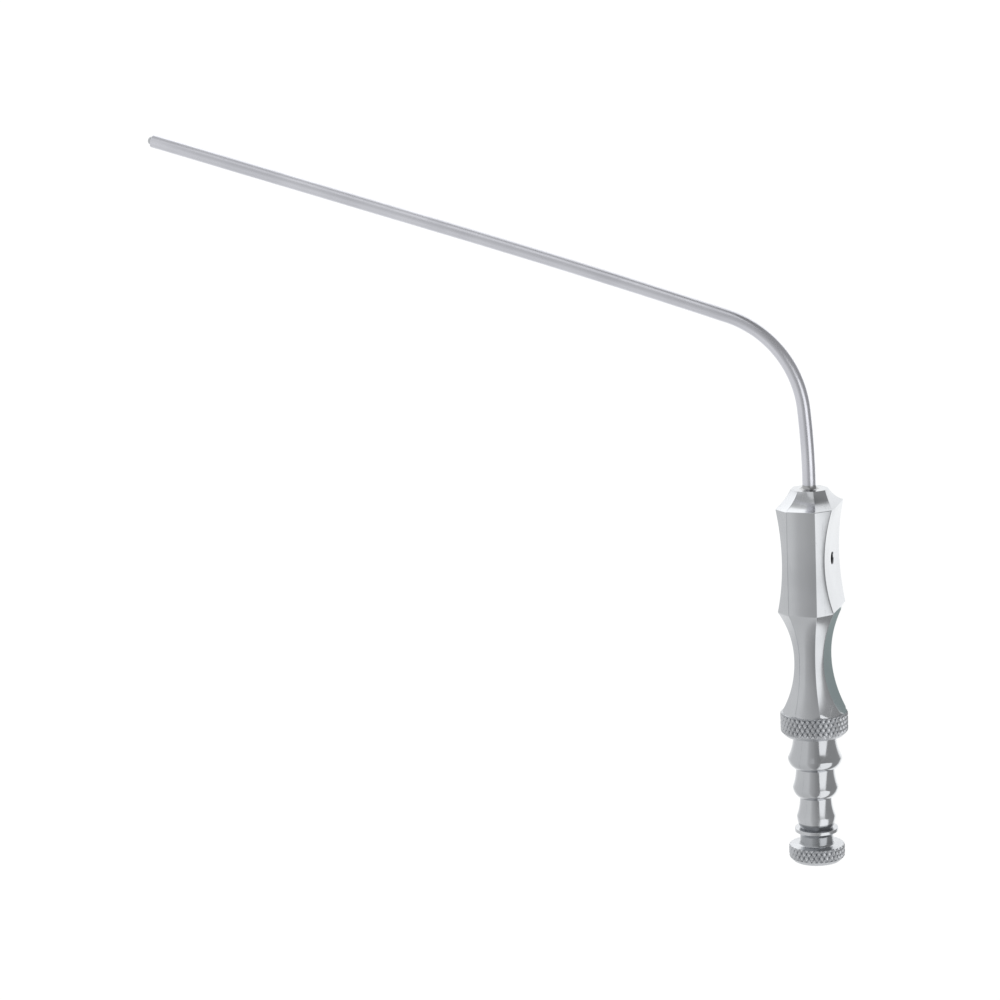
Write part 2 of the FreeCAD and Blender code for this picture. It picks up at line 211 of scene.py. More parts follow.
handleLook = {
    "dark": (0.60, 0.61, 0.63), "pale": (0.68, 0.69, 0.71), "cloudScale": 90.0, "cloudRange": (0.3, 0.7),
    "lineScale": 900.0, "lineRun": (1.0, 1.0, 0.06), "lineDepth": 0.003,
    "smearScale": 160.0, "smearRange": (0.35, 0.75), "rough": (0.13, 0.24),
    "scratchScale": 260.0, "scratchWidth": 0.012, "scratchDepth": 0.002, "scratchDull": 0.12,
    "scratchRun": (1.0, 0.35, 0.12), "scratchTurn": (0.5, 0.3, 0.9),
    "patchScale": 368.0, "patchRange": (0.48, 0.62),
}
# painted shade at the hose end, where it meets the knob's flange
ringLook = dict(handleLook, knurl=ringBand, paintedShades=(
    {"foot": -1.0, "crest": 1.05, "radius": 5.0, "ease": 0.12, "tint": (0.46, 0.47, 0.48)},
))
tubeLook = dict(handleLook, dark=(0.75, 0.75, 0.80), pale=(0.83, 0.83, 0.88), rough=(0.26, 0.36))
# painted shade down the knob's spool, between its flange and its knurled grip
knobLook = dict(handleLook, lineRun=(1.0, 1.0, 0.5), rough=(0.16, 0.26), knurl=knobBand, paintedShades=(
    {"foot": -2.95, "crest": -0.95, "radius": 3.3, "ease": 0.12, "tint": (0.64, 0.65, 0.66)},
))
wireLook = dict(handleLook, rough=(0.25, 0.35))
brazeLook = dict(handleLook, dark=(0.44, 0.44, 0.45), pale=(0.56, 0.56, 0.56), rough=(0.24, 0.36))

handleSteel = steelFinish("handleSteel", ringLook)
tubeSteel = steelFinish("tubeSteel", tubeLook)
knobSteel = steelFinish("knobSteel", knobLook)
wireSteel = steelFinish("wireSteel", wireLook)
brazeMetal = steelFinish("brazeMetal", brazeLook)
print("materials ready")


# Shared mesh work, in millimetres in the handle's frame

def smoothMin(one, other, width):
    near = np.maximum(width - np.abs(one - other), 0.0) / width
    return np.minimum(one, other) - near * near * width / 4


def smoothMax(one, other, width):
    return -smoothMin(-one, -other, width)


def arcRise(height, foot, rise, run):
    # how far an arc that starts along the axis at its foot has swung out
    radius = (rise ** 2 + run ** 2) / (2 * rise)
    return radius - np.sqrt(np.maximum(radius ** 2 - (height - foot) ** 2, 0.0))


def ringsToMesh(name, rings, closed):
    count = len(rings[0])
    rows = len(rings) if closed else len(rings) - 1
    faces = []
    for row in range(rows):
        low, high = row * count, (row + 1) % len(rings) * count
        faces += [(low + i, low + (i + 1) % count, high + (i + 1) % count, high + i) for i in range(count)]
    mesh = bpy.data.meshes.new(name)
    mesh.from_pydata(np.concatenate(rings).tolist(), [], faces)
    return mesh


def finished(name, mesh, material, node, sharp=35.0):
    work = bmesh.new()
    work.from_mesh(mesh)
    bmesh.ops.remove_doubles(work, verts=work.verts, dist=1e-4)
    bmesh.ops.dissolve_degenerate(work, edges=work.edges, dist=1e-5)
    work.to_mesh(mesh)
    work.free()
    mesh.transform(handleFrame)
    mesh.materials.clear()
    mesh.materials.append(material)
    mesh.polygons.foreach_set("material_index", [0] * len(mesh.polygons))
    mesh.shade_smooth()
    mesh.set_sharp_from_angle(angle=math.radians(sharp))
    mesh.name = name
    piece = placed(name, mesh)
    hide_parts(node)
    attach(piece, "root")
    print(name, len(mesh.polygons), "faces")


def joined(mesh, other):
    work = bmesh.new()
    work.from_mesh(mesh)
    work.from_mesh(other)
    work.to_mesh(mesh)
    work.free()
    return mesh


# Knurl: four-sided teeth on a crossed lattice round a cylinder

def knurlTree():
    tree = bpy.data.node_groups.new("knurlTeeth", "GeometryNodeTree")
    tree.interface.new_socket(name="Geometry", in_out="INPUT", socket_type="NodeSocketGeometry")
    for name, kind in (("Root Radius", "Float"), ("Bottom", "Float"), ("Row Step", "Float"),
                       ("Tooth Width", "Float"), ("Tooth Length", "Float"),
                       ("Tooth Height", "Float"), ("Tip Share", "Float"),
                       ("Starts", "Int"), ("Rows", "Int"), ("Finish", "Material")):
        tree.interface.new_socket(name=name, in_out="INPUT", socket_type="NodeSocket" + kind)
    tree.interface.new_socket(name="Geometry", in_out="OUTPUT", socket_type="NodeSocketGeometry")
    nodes = tree.nodes
    given = nodes.new("NodeGroupInput").outputs
    calc = partial(mathNode, tree)

    def vector(x, y, z):
        made = nodes.new("ShaderNodeCombineXYZ")
        for i, value in enumerate((x, y, z)):
            if isinstance(value, (int, float)):
                made.inputs[i].default_value = value
            else:
                tree.links.new(value, made.inputs[i])
        return made.outputs[0]

    index = nodes.new("GeometryNodeInputIndex").outputs[0]
    row = calc("FLOOR", calc("DIVIDE", index, given["Starts"]))
    column = calc("SUBTRACT", index, calc("MULTIPLY", row, given["Starts"]))
    column = calc("ADD", column, calc("MULTIPLY", calc("FLOORED_MODULO", row, 2.0), 0.5))
    angle = calc("DIVIDE", calc("MULTIPLY", column, 2 * math.pi), given["Starts"])
    outX, outY = calc("COSINE", angle), calc("SINE", angle)
    place = vector(calc("MULTIPLY", outX, given["Root Radius"]), calc("MULTIPLY", outY, given["Root Radius"]),
                   calc("ADD", given["Bottom"], calc("MULTIPLY", row, given["Row Step"])))
    points = nodes.new("GeometryNodePoints")
    tree.links.new(calc("MULTIPLY", given["Starts"], given["Rows"]), points.inputs["Count"])
    tree.links.new(place, points.inputs["Position"])
    tooth = nodes.new("GeometryNodeMeshCone")
    tooth.inputs["Vertices"].default_value = 4
    tree.links.new(given["Tip Share"], tooth.inputs["Radius Top"])
    tooth.inputs["Radius Bottom"].default_value = 1.0
    tooth.inputs["Depth"].default_value = 1.0
    outwards = nodes.new("FunctionNodeAlignRotationToVector")
    outwards.axis = "Z"
    tree.links.new(vector(outX, outY, 0.0), outwards.inputs["Vector"])
    upright = nodes.new("FunctionNodeAlignRotationToVector")
    upright.axis = "X"
    upright.pivot_axis = "Z"
    upright.inputs["Vector"].default_value = (0.0, 0.0, 1.0)
    tree.links.new(outwards.outputs["Rotation"], upright.inputs["Rotation"])
    planted = nodes.new("GeometryNodeInstanceOnPoints")
    tree.links.new(points.outputs[0], planted.inputs["Points"])
    tree.links.new(tooth.outputs["Mesh"], planted.inputs["Instance"])
    tree.links.new(upright.outputs["Rotation"], planted.inputs["Rotation"])
    tree.links.new(vector(calc("DIVIDE", given["Tooth Length"], 2.0), calc("DIVIDE", given["Tooth Width"], 2.0),
                          given["Tooth Height"]), planted.inputs["Scale"])
    solid = nodes.new("GeometryNodeRealizeInstances")
    tree.links.new(planted.outputs[0], solid.inputs[0])
    finish = nodes.new("GeometryNodeSetMaterial")
    tree.links.new(solid.outputs[0], finish.inputs["Geometry"])
    tree.links.new(given["Finish"], finish.inputs["Material"])
    out = nodes.new("NodeGroupOutput")
    tree.links.new(finish.outputs[0], out.inputs[0])
    return tree


def grownMesh(name, tree, values):
    # a throwaway object takes the tree, and gives its result as a plain mesh
    carrier = placed(name, bpy.data.meshes.new(name))
    grower = carrier.modifiers.new(name, "NODES")
    grower.node_group = tree
    for item in tree.interface.items_tree:
        if item.in_out == "INPUT" and item.name in values:
            grower[item.identifier] = values[item.name]
    bpy.context.view_layer.update()
    mesh = bpy.data.meshes.new_from_object(carrier.evaluated_get(bpy.context.evaluated_depsgraph_get()))
    carrier.modifiers.remove(grower)
    bpy.data.objects.remove(carrier)
    return mesh


def bandLimit(points, band):
    # teeth stop at the band's top and at its lower bevel
    points = points.copy()
    points[:, 2] = np.clip(points[:, 2], band["low"] + 0.02, band["teethTop"])
    below, above = band["low"] + band["bevel"] - points[:, 2], points[:, 2] - band["teethTop"] + band["topEase"]
    most = band["radius"] - np.maximum(np.maximum(below, above), 0.0)
    far = np.hypot(points[:, 0], points[:, 1])
    points[:, :2] *= np.minimum(1.0, most / far)[:, None]
    return points, np.minimum(far, most) < band["radius"] - band["depth"] + 0.01


def knurl(name, tree, band, material):
    pitch, overlap = 2 * math.pi * band["radius"] / band["starts"], 1.06
    root = band["radius"] - band["depth"]
    mesh = grownMesh(name, tree, {
        "Root Radius": root - band["sunk"], "Bottom": band["bottom"], "Row Step": band["pitch"] / 2,
        "Tooth Width": pitch * overlap, "Tooth Length": band["pitch"] * overlap,
        "Tooth Height": band["depth"] + band["sunk"],
        "Tip Share": band["tip"], "Starts": band["starts"], "Rows": band["rows"], "Finish": material})
    points = np.empty(len(mesh.vertices) * 3)
    mesh.vertices.foreach_get("co", points)
    points, cut = bandLimit(points.reshape(-1, 3), band)
    mesh.vertices.foreach_set("co", points.ravel())
    # a tooth is four points at its tip and four at its foot, and one with its tip cut away is left out
    work = bmesh.new()
    work.from_mesh(mesh)
    work.verts.ensure_lookup_table()
    tip, whole = 4, 8
    gone = [work.verts[i] for first in range(0, len(points), whole) if cut[first:first + tip].all()
            for i in range(first, first + whole)]
    bmesh.ops.delete(work, geom=gone, context="VERTS")
    work.to_mesh(mesh)
    work.free()
    return mesh


# Handle

handle = {
    "gripThickness": 10.0, "gripWidth": 15.0, "gripCorner": 2.55, "gripBottom": 39.9, "gripTop": 58.15, "dish": 1.2,
    "waistThickness": 5.3, "waistWidth": 9.3, "waistCorner": 1.3, "waistHeight": 30.8,
    "shoulderTop": 60.9, "shoulderFlat": 6.2, "shoulderCurve": 7.5,
    "ringRadius": 5.9, "ringBottom": 17.0, "ringFade": 21.1, "ringStep": 0.4,
    "barbs": ((2.8, 0.0, 3.4, 2.2), (2.8, 5.56, 4.0, 7.51), (3.4, 10.87, 4.75, 12.82)),
    "necks": ((2.8, 5.56), (3.4, 10.87), (3.75, 17.0)),
    "hoseBore": 1.9, "hoseBoreDepth": 7.0, "throughBore": 1.0, "socket": 1.185, "socketSeat": 52.0,
    "ventRadius": 1.1, "ventHeight": 48.7, "ventBreak": 0.12,
    "corner": 0.3, "rim": 0.3, "crown": {"broad": 0.05, "edge": 0.16, "corner": 0.04}, "roundEnds": 25.0,
    "flareEase": 0.14, "roundEase": 0.05, "crestEase": 0.05, "neckEase": 0.06, "ventClear": 1.9,
}
halfThick, halfWide = handle["gripThickness"] / 2, handle["gripWidth"] / 2
waistThick, waistWide = handle["waistThickness"] / 2, handle["waistWidth"] / 2
faceSizes = {
    "broad": (halfThick, waistThick),
    "edge": (halfWide, waistWide),
    "corner": ((halfThick + halfWide - handle["gripCorner"]) / math.sqrt(2),
               (waistThick + waistWide - handle["waistCorner"]) / math.sqrt(2)),
}
faceOrder = ("broad", "corner", "edge", "corner") * 2
unlimited = 99.0


def faceDistance(kind, height):
    # how far a milled flat stands from the axis at a height
    across, waist = faceSizes[kind]
    if height < handle["waistHeight"]:
        ring = handle["ringRadius"] - handle["ringStep"]
        return waist + arcRise(height, handle["waistHeight"], ring - waist,
                               handle["waistHeight"] - handle["ringFade"])
    flare = waist + arcRise(height, handle["waistHeight"], across - waist,
                            handle["gripBottom"] - handle["waistHeight"])
    face = across
    if kind == "broad":
        middle, half = (handle["gripBottom"] + handle["gripTop"]) / 2, (handle["gripTop"] - handle["gripBottom"]) / 2
        face = across - handle["dish"] + arcRise(height, middle, handle["dish"], half)
    milled = smoothMin(np.float64(flare), face, handle["flareEase"])
    return float(smoothMin(milled, shoulderDistance(across, height), handle["rim"]))


def shoulderDistance(across, height):
    # one cutter's arc from the grip's rim in to the flat round the tube
    rise, run = handle["shoulderTop"] - handle["gripTop"], across - handle["shoulderFlat"] / 2
    chord = math.hypot(rise, run)
    off = math.sqrt(handle["shoulderCurve"] ** 2 - chord ** 2 / 4) / chord
    middle, up = across - run / 2 + rise * off, handle["gripTop"] + rise / 2 + run * off
    return middle - math.sqrt(max(handle["shoulderCurve"] ** 2 - (height - up) ** 2, 0.0))


def octagonRing(height, distances, roundRadius, flatPoints=13, cornerPoints=6):
    # one ring of points: eight flats, slightly crowned, with eased corners, all inside a round
    normals = [math.radians(45 * i) for i in range(8)]
    corners = []
    for i in range(8):
        a, b = normals[i], normals[(i + 1) % 8]
        da, db = distances[faceOrder[i]], distances[faceOrder[(i + 1) % 8]]
        turn = math.sin(b - a)
        corners.append(((da * math.sin(b) - db * math.sin(a)) / turn, (db * math.cos(a) - da * math.cos(b)) / turn))
    reach = handle["corner"] * math.tan(math.radians(22.5))
    flats = []
    for i, normal in enumerate(normals):
        out = np.array((math.cos(normal), math.sin(normal)))
        along = np.array((-out[1], out[0]))
        low, high = np.array(corners[i - 1]) + along * reach, np.array(corners[i]) - along * reach
        crown = handle["crown"][faceOrder[i]]
        lean = out * 4 * crown / np.hypot(*(high - low))
        shares = np.linspace(0.0, 1.0, flatPoints)[:, None]
        face = low + (high - low) * shares - out * crown * (2 * shares - 1) ** 2
        flats.append((face, along + lean, along - lean))
    points = []
    for i, (face, _, leaving) in enumerate(flats):
        after, entering, _ = flats[(i + 1) % 8]
        last, first = face[-1], after[0]
        gap = first - last
        turn = leaving[0] * entering[1] - leaving[1] * entering[0]
        meet = last + leaving * (gap[0] * entering[1] - gap[1] * entering[0]) / turn
        points += list(face)
        for share in np.linspace(0.0, 1.0, cornerPoints + 2)[1:-1]:
            rest = 1 - share
            points.append(rest ** 2 * last + 2 * share * rest * meet + share ** 2 * first)
    points = np.array(points)
    radius = np.hypot(points[:, 0], points[:, 1])
    held = smoothMin(radius, np.full_like(radius, roundRadius), handle["roundEase"])
    points *= (held / radius)[:, None]
    return np.column_stack((points, np.full(len(points), height)))


def roundRing(height, radius, like):
    away = like / np.hypot(like[:, 0], like[:, 1])[:, None]
    return np.column_stack((away * radius, np.full(len(away), height)))


def turnedRadius(height):
    # three barbs and their necks, smoothly joined
    value = np.full_like(height, 0.5)
    for (start, foot, crest, top), (neck, end) in zip(handle["barbs"], handle["necks"]):
        up = crest - arcRise(np.minimum(height, top), top, crest - start, top - foot)
        down = neck + arcRise(np.minimum(height, end), end, crest - neck, end - top)
        value = smoothMax(value, smoothMin(up, down, handle["crestEase"]), handle["neckEase"])
    return value


def handleRings():
    like = octagonRing(0.0, {kind: handle["ringRadius"] for kind in faceSizes}, unlimited)[:, :2]
    rings = []
    heights = [np.linspace(0.0, 2.0, 12)]
    for _, foot, _, top in handle["barbs"]:
        heights += [np.linspace(foot + 0.15, top - 0.15, 10), np.linspace(top - 0.1, top + 0.1, 7)]
    for (_, _, _, top), (_, end) in zip(handle["barbs"], handle["necks"]):
        heights += [np.linspace(top + 0.15, end - 0.15, 12), np.linspace(end - 0.1, end + 0.1, 5)]
    heights = np.unique(np.concatenate(heights).round(4))
    heights = heights[heights <= handle["ringBottom"]]
    for height, radius in zip(heights, turnedRadius(heights)):
        rings.append(roundRing(height, radius, like))
    root = ringBand["radius"] - ringBand["depth"]
    bottom, edge, fade, top = handle["ringBottom"], ringBand["bevel"], handle["ringFade"], handle["gripTop"]
    foot = handle["ringRadius"] - edge
    for height, radius in ((bottom, foot - 0.05), (bottom, foot), (bottom + 0.03, foot + 0.03),
                           (bottom + edge - ringBand["depth"], root), (bottom + edge, root),
                           (fade - 0.06, root), (fade, root - 0.06)):
        rings.append(roundRing(height, radius, like))
    # flats rise from the ring, sweep in to the waist, out to the grip and in again to the tube;
    # each run of rows is given as its two ends and its count
    heights = [fade + 0.002]
    for low, high, count in ((fade + 0.05, 30.6, 64), (30.8, 39.2, 44), (39.3, 40.6, 16), (41.0, top - 0.4, 36),
                             (top - 0.3, top - 0.12, 4), (top - 0.1, top + 0.16, 18),
                             (top + 0.2, handle["shoulderTop"], 36)):
        heights += list(np.linspace(low, high, count))
    for height in heights:
        distances = {kind: faceDistance(kind, height) for kind in faceSizes}
        roundLimit = root - 0.1 + 0.25 * (height - fade) if height < handle["roundEnds"] else unlimited
        rings.append(octagonRing(height, distances, roundLimit))
    # down the passage and back to the hose end
    shoulder, seat, mouth = handle["shoulderTop"], handle["socketSeat"], handle["hoseBoreDepth"]
    passage = [(shoulder, handle["socket"]), (seat, handle["socket"]), (seat, handle["throughBore"]),
               (handle["ventHeight"] + handle["ventClear"], handle["throughBore"]),
               (handle["ventHeight"] - handle["ventClear"], handle["throughBore"]),
               (mouth, handle["throughBore"]), (mouth, handle["hoseBore"]), (0.0, handle["hoseBore"])]
    for height, radius in passage:
        rings.append(roundRing(height, radius, like))
    return rings


def ventCutter():
    surface = faceDistance("broad", handle["ventHeight"])
    hole, bevel = handle["ventRadius"], handle["ventBreak"]
    start, clear, columns = 0.3, 1.5, 72
    profile = ((start, 0.0), (start, hole), (surface - bevel, hole), (surface + clear, hole + bevel + clear),
               (surface + clear, 0.0))
    around = np.linspace(0, 2 * math.pi, columns, endpoint=False)
    rings = [np.column_stack((np.full(columns, out), radius * np.cos(around),
                              handle["ventHeight"] + radius * np.sin(around))) for out, radius in profile]
    mesh = ringsToMesh("ventCutter", rings, False)
    work = bmesh.new()
    work.from_mesh(mesh)
    bmesh.ops.remove_doubles(work, verts=work.verts, dist=1e-5)
    bmesh.ops.recalc_face_normals(work, faces=work.faces)
    work.to_mesh(mesh)
    work.free()
    return mesh


def makeHandle(teethTree):
    body = ringsToMesh("handleBlank", handleRings(), True)
    blank, drill = placed("handleBlank", body), placed("ventCutter", ventCutter())
    boring = blank.modifiers.new("vent", "BOOLEAN")
    boring.operation, boring.solver, boring.object = "DIFFERENCE", "MANIFOLD", drill
    bpy.context.view_layer.update()
    mesh = bpy.data.meshes.new_from_object(blank.evaluated_get(bpy.context.evaluated_depsgraph_get()))
    bpy.data.objects.remove(blank)
    bpy.data.objects.remove(drill)
    teeth = knurl("ringTeeth", teethTree, ringBand, handleSteel)
    finished("handleBody", joined(mesh, teeth), handleSteel, "handle")


teethTree = knurlTree()
makeHandle(teethTree)


# Stylet knob: plug, flange, spool and a knurled round grip

knob = {"bottom": -5.95, "shelf": -3.05, "spool": 2.9, "flange": 3.8, "flangeLand": -0.6, "flangeFoot": -1.5,
        "plug": 1.85, "plugTop": 5.0, "bevel": 0.6, "columns": 140}


def eased(points, radii, steps=5):
    # a profile with its corners rounded off
    done = []
    for i, (point, radius) in enumerate(zip(points, radii)):
        here = np.array(point, float)
        if radius == 0 or i in (0, len(points) - 1):
            done.append(here)
            continue
        back, ahead = np.array(points[i - 1]) - here, np.array(points[i + 1]) - here
        back, ahead = back / np.linalg.norm(back), ahead / np.linalg.norm(ahead)
        half = math.acos(max(-1.0, min(1.0, float(back @ ahead)))) / 2
        centre = here + (back + ahead) / np.linalg.norm(back + ahead) * radius / math.sin(half)
        start, finish = here + back * radius / math.tan(half), here + ahead * radius / math.tan(half)
        for share in np.linspace(0.0, 1.0, steps):
            chord = start + (finish - start) * share - centre
            done.append(centre + chord / np.linalg.norm(chord) * radius)
    return done


def lathed(name, profile, columns):
    around = np.linspace(0, 2 * math.pi, columns, endpoint=False)
    rings = [np.column_stack((radius * np.cos(around), radius * np.sin(around), np.full(columns, height)))
             for radius, height in profile]
    return ringsToMesh(name, rings, False)


def makeKnob(teethTree):
    root = knobBand["radius"] - knobBand["depth"]
    spool, flange, plug = knob["spool"], knob["flange"], knob["plug"]
    land, foot = knob["flangeLand"], knob["flangeFoot"]
    sweep = [(spool + float(arcRise(height, foot, flange - spool, land - foot)), height)
             for height in np.linspace(foot, land, 9)]
    bottom, shelf, bevel = knob["bottom"], knob["shelf"], knob["bevel"]
    points = [(0.0, bottom), (root - bevel, bottom), (root, bottom + bevel), (root, shelf), (spool, shelf)]
    points += sweep + [(flange, 0.0), (plug, 0.0), (plug, knob["plugTop"]), (0.0, knob["plugTop"])]
    # how far each corner of the profile is rounded
    radii = [0, 0.08, 0.1, 0.06, 0.45] + [0] * 8 + [0.05] + [0.1, 0, 0.1, 0]
    mesh = lathed("knobBlank", eased(points, radii), knob["columns"])
    teeth = knurl("knobTeeth", teethTree, knobBand, knobSteel)
    finished("styletKnob", joined(mesh, teeth), knobSteel, "stylet_knob")


makeKnob(teethTree)


# Tube and wire: a round section carried along the bent course

course = {"start": 2.0, "rise": 61.6, "arcs": ((135.0, 5.6), (18.8, 66.6), (1850.0, 1.6)), "tip": 58.4,
          "steps": (7.0, 1.1, 0.36, 4.0, 9.0), "leadPoints": 20, "bendPoints": 1200, "over": 3.0}
tube = {"radius": 1.165, "inner": 0.915, "rim": 0.1, "rimEase": 0.04, "seat": 52.0, "openDepth": 14.0, "columns": 64}
wire = {"radius": 0.7, "nose": 0.45, "reach": 0.75, "columns": 40}


def courseLengths():
    lengths = [course["rise"] - course["start"]]
    for radius, turn in course["arcs"]:
        lengths.append(lengths[-1] + radius * math.radians(turn))
    lengths.append(lengths[-1] + course["tip"])
    return lengths


def coursePoint(distance):
    lengths = courseLengths()
    if distance <= lengths[0]:
        return 0.0, course["start"] + distance
    across, height, heading = 0.0, course["rise"], 0.0
    for (radius, turn), begun, ended in zip(course["arcs"], lengths, lengths[1:]):
        swung = min(distance, ended) - begun
        after = heading + swung / radius
        across -= radius * (math.cos(heading) - math.cos(after))
        height += radius * (math.sin(after) - math.sin(heading))
        heading = after
        if distance <= ended:
            return across, height
    left = distance - lengths[-2]
    return across - left * math.sin(heading), height + left * math.cos(heading)


def courseStops(first, last):
    # closer together where the tube bends
    lengths = courseLengths()
    stops = [first]
    for step, ended in zip(course["steps"], lengths[:-1] + [last]):
        ended = min(ended, last)
        if ended > stops[-1] + 1e-6:
            count = max(1, round((ended - stops[-1]) / step))
            stops += list(np.linspace(stops[-1], ended, count + 1)[1:])
    return stops


def sweepTree():
    tree = bpy.data.node_groups.new("sweptRound", "GeometryNodeTree")
    tree.interface.new_socket(name="Geometry", in_out="INPUT", socket_type="NodeSocketGeometry")
    for name, kind in (("Course", "Object"), ("Profile", "Object"), ("Rows", "Int"), ("Columns", "Int"),
                       ("Side", "Vector"), ("Finish", "Material")):
        tree.interface.new_socket(name=name, in_out="INPUT", socket_type="NodeSocket" + kind)
    tree.interface.new_socket(name="Geometry", in_out="OUTPUT", socket_type="NodeSocketGeometry")
    nodes = tree.nodes
    given = nodes.new("NodeGroupInput").outputs
    calc = partial(mathNode, tree)

    def vectorMath(kind, one, other=None, scale=None):
        made = nodes.new("ShaderNodeVectorMath")
        made.operation = kind
        tree.links.new(one, made.inputs[0])
        if other is not None:
            tree.links.new(other, made.inputs[1])
        if scale is not None:
            tree.links.new(scale, made.inputs["Scale"])
        return made.outputs[0]

    grid = nodes.new("GeometryNodeMeshGrid")
    tree.links.new(given["Columns"], grid.inputs["Vertices X"])
    tree.links.new(given["Rows"], grid.inputs["Vertices Y"])
    spot = nodes.new("ShaderNodeSeparateXYZ")
    tree.links.new(nodes.new("GeometryNodeInputPosition").outputs[0], spot.inputs[0])
    row = calc("MULTIPLY", calc("ADD", spot.outputs["Y"], 0.5), calc("SUBTRACT", given["Rows"], 1.0))
    row = calc("ROUND", row)
    angle = calc("MULTIPLY", calc("ADD", spot.outputs["X"], 0.5), 2 * math.pi)
    profile = nodes.new("GeometryNodeObjectInfo")
    tree.links.new(given["Profile"], profile.inputs["Object"])
    stop = nodes.new("GeometryNodeSampleIndex")
    stop.data_type = "FLOAT_VECTOR"
    tree.links.new(profile.outputs["Geometry"], stop.inputs["Geometry"])
    tree.links.new(nodes.new("GeometryNodeInputPosition").outputs[0], stop.inputs["Value"])
    tree.links.new(row, stop.inputs["Index"])
    measure = nodes.new("ShaderNodeSeparateXYZ")
    tree.links.new(stop.outputs[0], measure.inputs[0])
    line = nodes.new("GeometryNodeObjectInfo")
    tree.links.new(given["Course"], line.inputs["Object"])
    along = nodes.new("GeometryNodeSampleCurve")
    along.mode = "LENGTH"
    tree.links.new(line.outputs["Geometry"], along.inputs["Curves"])
    tree.links.new(measure.outputs["X"], along.inputs["Length"])
    outward = vectorMath("NORMALIZE", vectorMath("CROSS_PRODUCT", given["Side"], along.outputs["Tangent"]))
    ring = vectorMath("ADD", vectorMath("SCALE", outward, scale=calc("COSINE", angle)),
                      vectorMath("SCALE", given["Side"], scale=calc("SINE", angle)))
    put = nodes.new("GeometryNodeSetPosition")
    tree.links.new(grid.outputs["Mesh"], put.inputs["Geometry"])
    reached = vectorMath("SCALE", ring, scale=measure.outputs["Y"])
    tree.links.new(vectorMath("ADD", along.outputs["Position"], reached), put.inputs["Position"])
    seam = nodes.new("GeometryNodeMergeByDistance")
    seam.inputs["Distance"].default_value = 0.0005
    tree.links.new(put.outputs[0], seam.inputs["Geometry"])
    solid = nodes.new("GeometryNodeRealizeInstances")
    tree.links.new(seam.outputs[0], solid.inputs[0])
    finish = nodes.new("GeometryNodeSetMaterial")
    tree.links.new(solid.outputs[0], finish.inputs["Geometry"])
    tree.links.new(given["Finish"], finish.inputs["Material"])
    tree.links.new(finish.outputs[0], nodes.new("NodeGroupOutput").inputs[0])
    return tree


def makeCourse():
    curve = bpy.data.curves.new("tubeCourse", "CURVE")
    curve.dimensions = "3D"
    line = curve.splines.new("POLY")
    bend, end = courseLengths()[0], courseLengths()[-1] + course["over"]
    stops = np.concatenate((np.linspace(0.0, bend, course["leadPoints"])[:-1],
                            np.linspace(bend, end, course["bendPoints"])))
    line.points.add(len(stops) - 1)
    for point, distance in zip(line.points, stops):
        across, height = coursePoint(distance)
        point.co = (across, 0.0, height, 1.0)
    return placed("tubeCourse", curve)


def swept(name, tree, line, profile, columns, material):
    points = bpy.data.meshes.new(name + "Profile")
    points.from_pydata([(distance, radius, 0.0) for distance, radius in profile], [], [])
    holder = placed(name + "Profile", points)
    mesh = grownMesh(name, tree, {
        "Course": line, "Profile": holder, "Rows": len(profile), "Columns": columns + 1,
        "Side": (0.0, 1.0, 0.0), "Finish": material})
    bpy.data.objects.remove(holder)
    return mesh


pipeTree = sweepTree()
tubeLine = makeCourse()
tubeStart, tubeEnd = tube["seat"] - course["start"], courseLengths()[-1]


def tubeProfile():
    # up the outside, over the rounded rim, and down the inside to a blind end out of sight
    outer, inner, rim = tube["radius"], tube["inner"], tube["rim"]
    profile = [(tubeStart, 0.0), (tubeStart, outer)]
    profile += [(stop, outer) for stop in courseStops(tubeStart, tubeEnd - rim)[1:]]
    for turn in np.radians((18, 36, 54, 72, 90)):
        profile.append((tubeEnd - rim + rim * math.sin(turn), outer - rim + rim * math.cos(turn)))
    inside, ease = tubeEnd - tube["openDepth"], tube["rimEase"]
    return profile + [(tubeEnd, inner + ease), (tubeEnd - ease, inner), (inside, inner), (inside, 0.0)]


tubeMesh = swept("cannulaTube", pipeTree, tubeLine, tubeProfile(), tube["columns"], tubeSteel)
finished("cannulaTube", tubeMesh, tubeSteel, "cannula")


def wireProfile():
    radius, nose, end = wire["radius"], wire["nose"], tubeEnd + wire["reach"]
    profile = [(0.0, 0.0), (0.0, radius)]
    profile += [(stop, radius) for stop in courseStops(0.0, end - nose)[1:]]
    for turn in np.radians(np.linspace(10, 90, 9)):
        profile.append((end - nose + nose * math.sin(turn), radius - nose + nose * math.cos(turn)))
    return profile + [(end, 0.0)]


wireMesh = swept("styletWire", pipeTree, tubeLine, wireProfile(), wire["columns"], wireSteel)
finished("styletWire", wireMesh, wireSteel, "stylet_wire")
bpy.data.objects.remove(tubeLine)


# Braze at the tube's root

braze = {"tube": 1.165, "width": 0.495, "height": 0.7, "foot": 60.9, "columns": 72, "rows": 12,
         "waves": ((0.10, 2, 0.7), (0.06, 5, 2.1)), "level": 0.8, "unevenness": 0.16}


def makeBraze():
    columns = braze["columns"]
    around = np.linspace(0, 2 * math.pi, columns, endpoint=False)
    wobble = 1 + sum(size * np.sin(count * around + begun) for size, count, begun in braze["waves"])
    rings = [np.column_stack((braze["tube"] * np.cos(around), braze["tube"] * np.sin(around),
                              np.full(columns, braze["foot"])))]
    for share in np.linspace(0.0, 1.0, braze["rows"]):
        turn = math.radians(90 * share)
        radius = braze["tube"] + braze["width"] * (1 - math.sin(turn)) * wobble
        lift = braze["level"] + braze["unevenness"] * wobble
        height = braze["foot"] + braze["height"] * (1 - math.cos(turn)) * lift
        rings.append(np.column_stack((radius * np.cos(around), radius * np.sin(around), height)))
    mesh = ringsToMesh("brazeBlank", rings, True)
    finished("brazeFillet", mesh, brazeMetal, "braze_fillet")


makeBraze()
print("pieces made")


